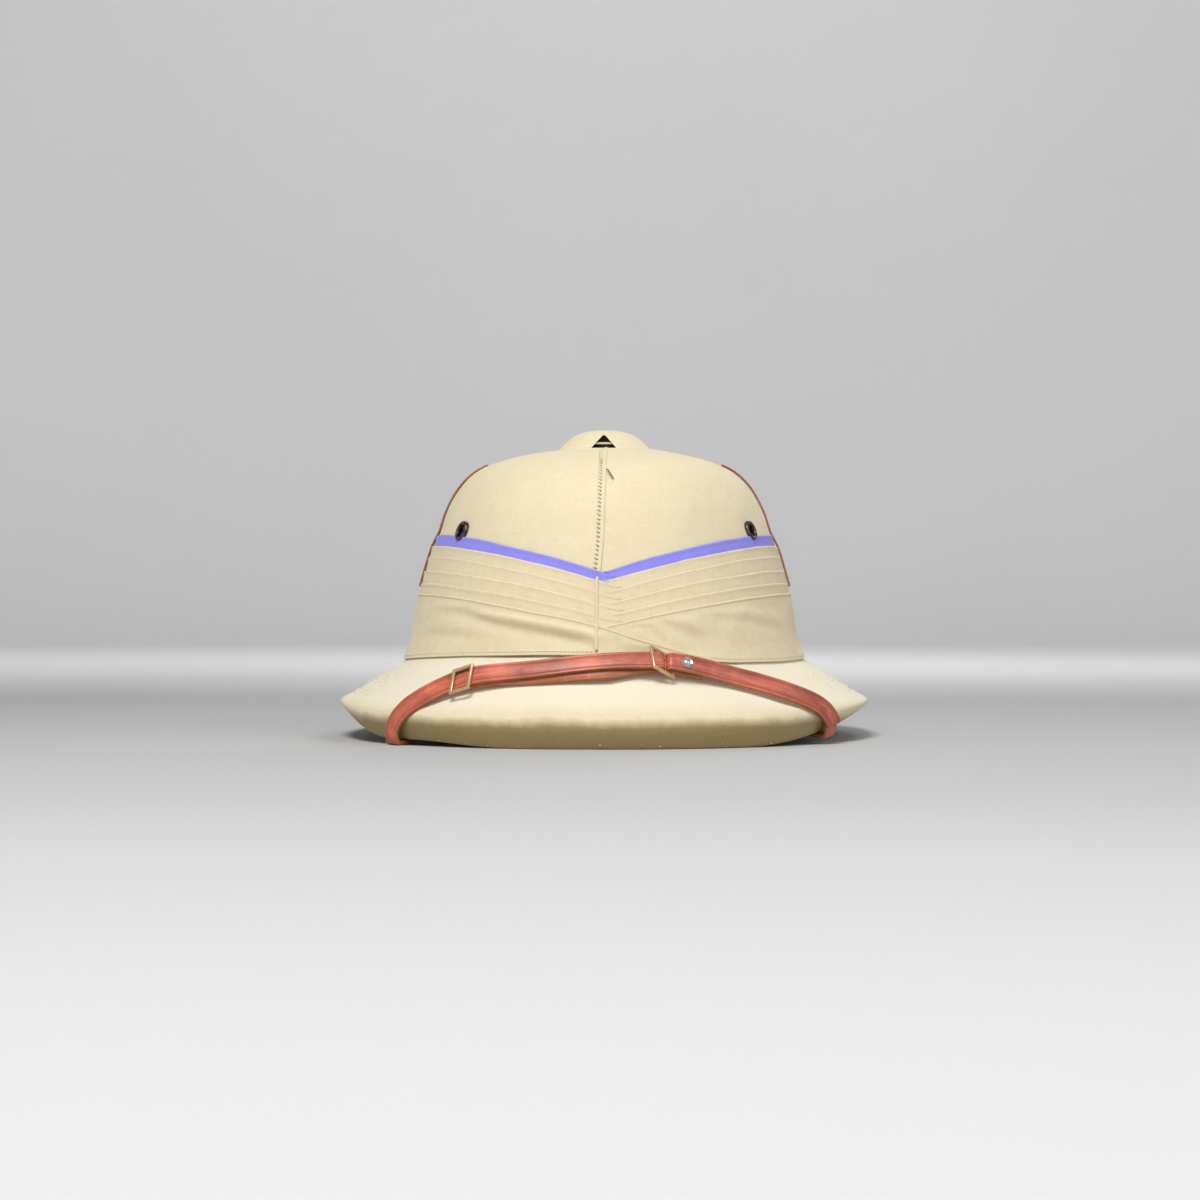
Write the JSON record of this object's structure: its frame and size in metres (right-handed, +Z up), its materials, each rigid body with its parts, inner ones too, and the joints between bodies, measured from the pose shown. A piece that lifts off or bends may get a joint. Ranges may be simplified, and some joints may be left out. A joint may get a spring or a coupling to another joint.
{
  "type": "pith helmet",
  "caption": "Cloth-covered pith sun helmet with a wide sloping brim, vent cap, pleated band with a blue stripe, and a leather chin strap worn up.",
  "frame": {"origin": "middle of the helmet's plan, on the surface that the front and back of the rim rest on", "axes": "+Z up, +Y from the front of the helmet to its back, +X to the wearer's left"},
  "size_m": [0.285, 0.354, 0.1653],
  "materials": {
    "cover_cloth": "matt cream cotton cloth over pith, fine plain weave",
    "band_cloth": "matt cream cotton band, pleated, slightly darker and creased",
    "blue_cloth": "matt periwinkle blue cotton fold",
    "tan_strip": "matt tan-brown tape",
    "strap_leather": "polished reddish-brown leather with paler raw edges",
    "strap_brass": "worn polished brass",
    "eyelet_metal": "dark bronzed metal, worn bright on its lower edge",
    "rivet_metal": "silvery domed rivet head",
    "post_leather": "plain matt leather tab, hidden in use"
  },
  "bodies": {
    "root": {"helmet_shell": "cover_cloth", "vent_cap": "cover_cloth", "crown_seam_front": "cover_cloth", "crown_seam_back": "cover_cloth", "side_strip_left": "tan_strip", "side_strip_right": "tan_strip", "eyelet_right": "eyelet_metal", "eyelet_left": "eyelet_metal", "pugaree_stripe": "blue_cloth", "pugaree_pleat_1": "band_cloth", "pugaree_pleat_2": "band_cloth", "pugaree_pleat_3": "band_cloth", "pugaree_pleat_4": "band_cloth", "pugaree_wrap": "band_cloth", "pugaree_front_welt": "band_cloth", "chin_strap_long": "strap_leather", "chin_strap_short": "strap_leather", "strap_slide": "strap_brass", "strap_buckle": "strap_brass", "strap_rivet": "rivet_metal", "strap_post_right": "post_leather", "strap_post_left": "post_leather"}
  },
  "joints": []
}
